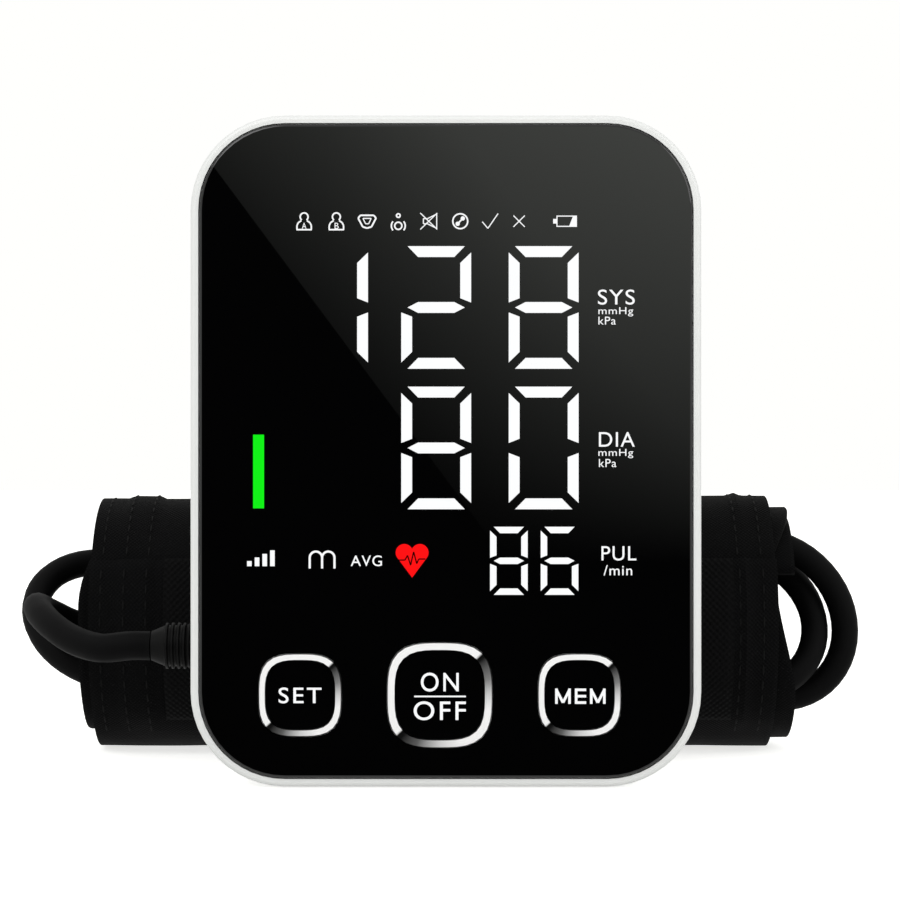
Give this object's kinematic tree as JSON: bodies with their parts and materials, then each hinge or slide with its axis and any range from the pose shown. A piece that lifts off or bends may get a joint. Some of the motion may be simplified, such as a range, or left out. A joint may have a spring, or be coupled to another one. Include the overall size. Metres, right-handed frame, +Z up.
{
  "type": "upper arm blood pressure monitor",
  "caption": "Upright desk blood pressure monitor with a glossy black face, white case and three pressing keys, and a rolled arm cuff behind it on a folded air hose.",
  "frame": {"origin": "centre of the monitor's base, on the surface that it stands on", "axes": "+Z up, the display faces -Y, +X to the viewer's right along the rolled cuff"},
  "size_m": [0.1865, 0.1072, 0.1314],
  "materials": {
    "white_plastic": "satin",
    "black_lens": "gloss",
    "chrome_ring": "polished",
    "light_guide": "matte",
    "board": "satin",
    "dark_plastic": "satin",
    "steel": "satin",
    "clear_tube": "satin",
    "cell_jacket": "satin",
    "grey_rubber": "matte",
    "black_nylon": "matte",
    "bladder_film": "satin",
    "black_hose": "satin"
  },
  "bodies": {
    "monitor": {"front_shell": "white_plastic", "rear_shell": "white_plastic", "front_lens": "black_lens", "key_ring_set": "chrome_ring", "key_ring_power": "chrome_ring", "key_ring_memory": "chrome_ring", "light_guide": "light_guide", "air_manifold": "light_guide", "main_board": "board", "display_film": "dark_plastic", "key_switch_set": "dark_plastic", "key_switch_power": "dark_plastic", "key_switch_memory": "dark_plastic", "pump_head": "dark_plastic", "pressure_sensor": "dark_plastic", "air_socket": "dark_plastic", "speaker": "dark_plastic", "case_screw_1": "steel", "case_screw_2": "steel", "case_screw_3": "steel", "case_screw_4": "steel", "spring_strip": "steel", "contact_strip": "steel", "battery_spring_1": "steel", "battery_spring_2": "steel", "battery_spring_3": "steel", "battery_spring_4": "steel", "pump_motor_can": "steel", "release_valve": "steel", "power_socket": "steel", "sensor_tube": "clear_tube", "socket_tube": "clear_tube", "pump_tube": "clear_tube", "battery_1": "cell_jacket", "battery_2": "cell_jacket", "battery_3": "cell_jacket", "battery_4": "cell_jacket", "rear_foot_1": "grey_rubber", "rear_foot_2": "grey_rubber", "rear_foot_3": "grey_rubber", "rear_foot_4": "grey_rubber"},
    "set_key": {"key_cap_set": "black_lens"},
    "power_key": {"key_cap_power": "black_lens"},
    "memory_key": {"key_cap_memory": "black_lens"},
    "door": {"battery_door": "white_plastic"},
    "rotor": {"pump_rotor": "steel"},
    "cuff": {"cuff_outer_fabric": "black_nylon", "cuff_bladder": "bladder_film", "cuff_lining": "black_nylon", "cuff_hook_patch": "black_nylon", "cuff_port": "dark_plastic", "hose_hank": "black_hose", "hose_lead": "black_hose", "hose_plug": "dark_plastic"}
  },
  "joints": [
    {"name": "set_key_press", "type": "slide", "parent": "monitor", "child": "set_key", "axis": [0, 1, 0], "range_m": [0, 0.0006], "stiffness_N_per_m": 1000},
    {"name": "power_key_press", "type": "slide", "parent": "monitor", "child": "power_key", "axis": [0, 1, 0], "range_m": [0, 0.0006], "stiffness_N_per_m": 1000},
    {"name": "memory_key_press", "type": "slide", "parent": "monitor", "child": "memory_key", "axis": [0, 1, 0], "range_m": [0, 0.0006], "stiffness_N_per_m": 1000},
    {"name": "battery_door_hinge", "type": "hinge", "parent": "monitor", "child": "door", "pos_m": [0, 0.023, 0.1194], "axis": [1, 0, 0], "range_deg": [0, 75]},
    {"name": "pump_spin", "type": "hinge", "parent": "monitor", "child": "rotor", "pos_m": [0.01, 0.005, 0.046], "axis": [1, 0, 0], "continuous": true},
    {"name": "hose_plug_pull", "type": "slide", "parent": "monitor", "child": "cuff", "axis": [-1, 0, 0], "range_m": [0, 0.016]}
  ]
}
